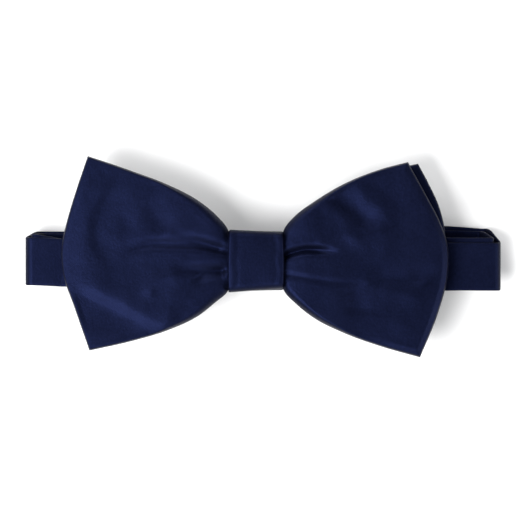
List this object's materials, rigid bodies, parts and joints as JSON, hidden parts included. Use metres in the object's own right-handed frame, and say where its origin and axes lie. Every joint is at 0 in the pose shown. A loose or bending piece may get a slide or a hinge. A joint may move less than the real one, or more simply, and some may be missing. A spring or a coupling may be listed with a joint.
{
  "type": "bow tie",
  "caption": "Ready-tied satin bow tie with pleated wings, a wrapped knot, and an adjustable hooked neck band folded flat behind it.",
  "frame": {"origin": "floor side of the back of the neck band, straight under the middle of the knot", "axes": "+X along the band to the viewer's right, +Y up the bow as it is worn, +Z out of the face of the bow"},
  "size_m": [0.1488, 0.0629, 0.02],
  "materials": {
    "navy_satin": "dark navy satin twill with a soft blue sheen",
    "navy_satin_strap": "the same navy satin, pressed flat",
    "interlining": "matt undyed woven interlining",
    "sewing_thread": "twisted navy polyester thread",
    "nickel_plated_wire": "polished nickel plate",
    "nickel_plated_slide": "polished nickel plate on stamped steel",
    "label_tape": "matt woven tape, blank"
  },
  "bodies": {
    "bow": {"front_bow_satin": "navy_satin", "front_bow_interlining": "interlining", "back_bow_satin": "navy_satin", "back_bow_interlining": "interlining", "gather_thread": "sewing_thread", "knot_wrap": "navy_satin", "knot_stiffener": "interlining", "knot_stitches": "sewing_thread"},
    "band": {"band_back_inner": "navy_satin_strap", "band_back_inner_end": "navy_satin_strap", "band_back_outer": "navy_satin_strap", "band_back_outer_end": "navy_satin_strap", "band_knot_run": "navy_satin_strap", "band_left_inner": "navy_satin_strap", "band_left_inner_fold": "navy_satin_strap", "band_left_outer": "navy_satin_strap", "band_left_outer_fold": "navy_satin_strap", "band_right_inner": "navy_satin_strap", "band_right_inner_end": "navy_satin_strap", "band_right_outer": "navy_satin_strap", "band_right_outer_end": "navy_satin_strap", "band_slider_run": "navy_satin_strap", "care_label": "label_tape", "eye_bar_tack": "sewing_thread", "eye_ring": "nickel_plated_wire", "eye_strap_loop": "navy_satin_strap", "label_stitches": "sewing_thread"},
    "hook": {"hook": "nickel_plated_wire", "hook_strap_loop": "navy_satin_strap"},
    "slider": {"slider": "nickel_plated_slide", "slider_strap_end": "navy_satin_strap", "slider_bar_tack": "sewing_thread", "band_slider_weave": "navy_satin_strap"},
    "right_loop": {"band_right_outer_fold": "navy_satin_strap", "band_right_inner_fold": "navy_satin_strap"}
  },
  "joints": [
    {"name": "band_shift", "type": "slide", "parent": "bow", "child": "band", "axis": [1, 0, 0], "range_m": [-0.01, 0.01]},
    {"name": "hook_swing", "type": "hinge", "parent": "band", "child": "hook", "pos_m": [-0.047, 0, 0.0093], "axis": [0, -1, 0], "range_deg": [0, 15], "deforming": ["band_left_outer", "band_left_inner"]},
    {"name": "slider_travel", "type": "slide", "parent": "band", "child": "slider", "axis": [1, 0, 0], "range_m": [-0.006, 0.012], "deforming": ["band_slider_run", "band_right_outer", "band_right_inner"]},
    {"name": "right_loop_shift", "type": "slide", "parent": "band", "child": "right_loop", "axis": [1, 0, 0], "range_m": [-0.0015, 0.003], "deforming": ["band_right_outer_end", "band_right_inner_end", "band_back_outer_end", "band_back_inner_end"]}
  ],
  "couplings": [
    {"joint": "right_loop_shift", "follows": "slider_travel", "ratio": 0.25}
  ]
}
